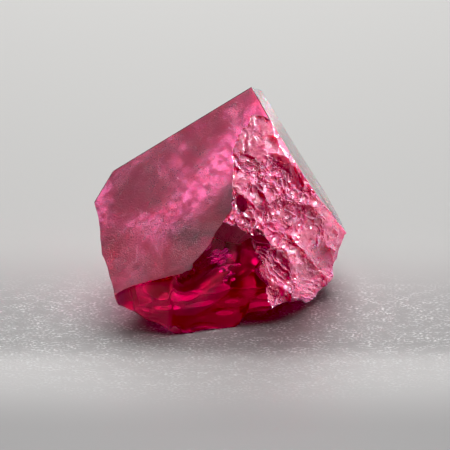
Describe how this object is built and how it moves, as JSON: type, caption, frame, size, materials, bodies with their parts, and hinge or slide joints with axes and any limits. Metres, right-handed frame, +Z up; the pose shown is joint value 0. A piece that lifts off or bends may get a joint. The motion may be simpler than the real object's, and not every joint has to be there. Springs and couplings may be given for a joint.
{
  "type": "red beryl crystal",
  "caption": "See-through red beryl crystal: a stubby six-sided prism with a flat end, broken shell-like at the front, below and at the other end, resting on its underside.",
  "frame": {"origin": "middle of the bounding box, on the floor the crystal rests on", "axes": "+Z up; +X to the right along the climbing side of the prism as the front is faced; +Y away from the front, so the front looks along -Y"},
  "size_m": [0.0102, 0.0108, 0.0089],
  "materials": {
    "red_beryl": "natural faces finely etched and slightly frosted, breaks glassy"
  },
  "bodies": {
    "root": {"crystal": "red_beryl"}
  },
  "joints": []
}
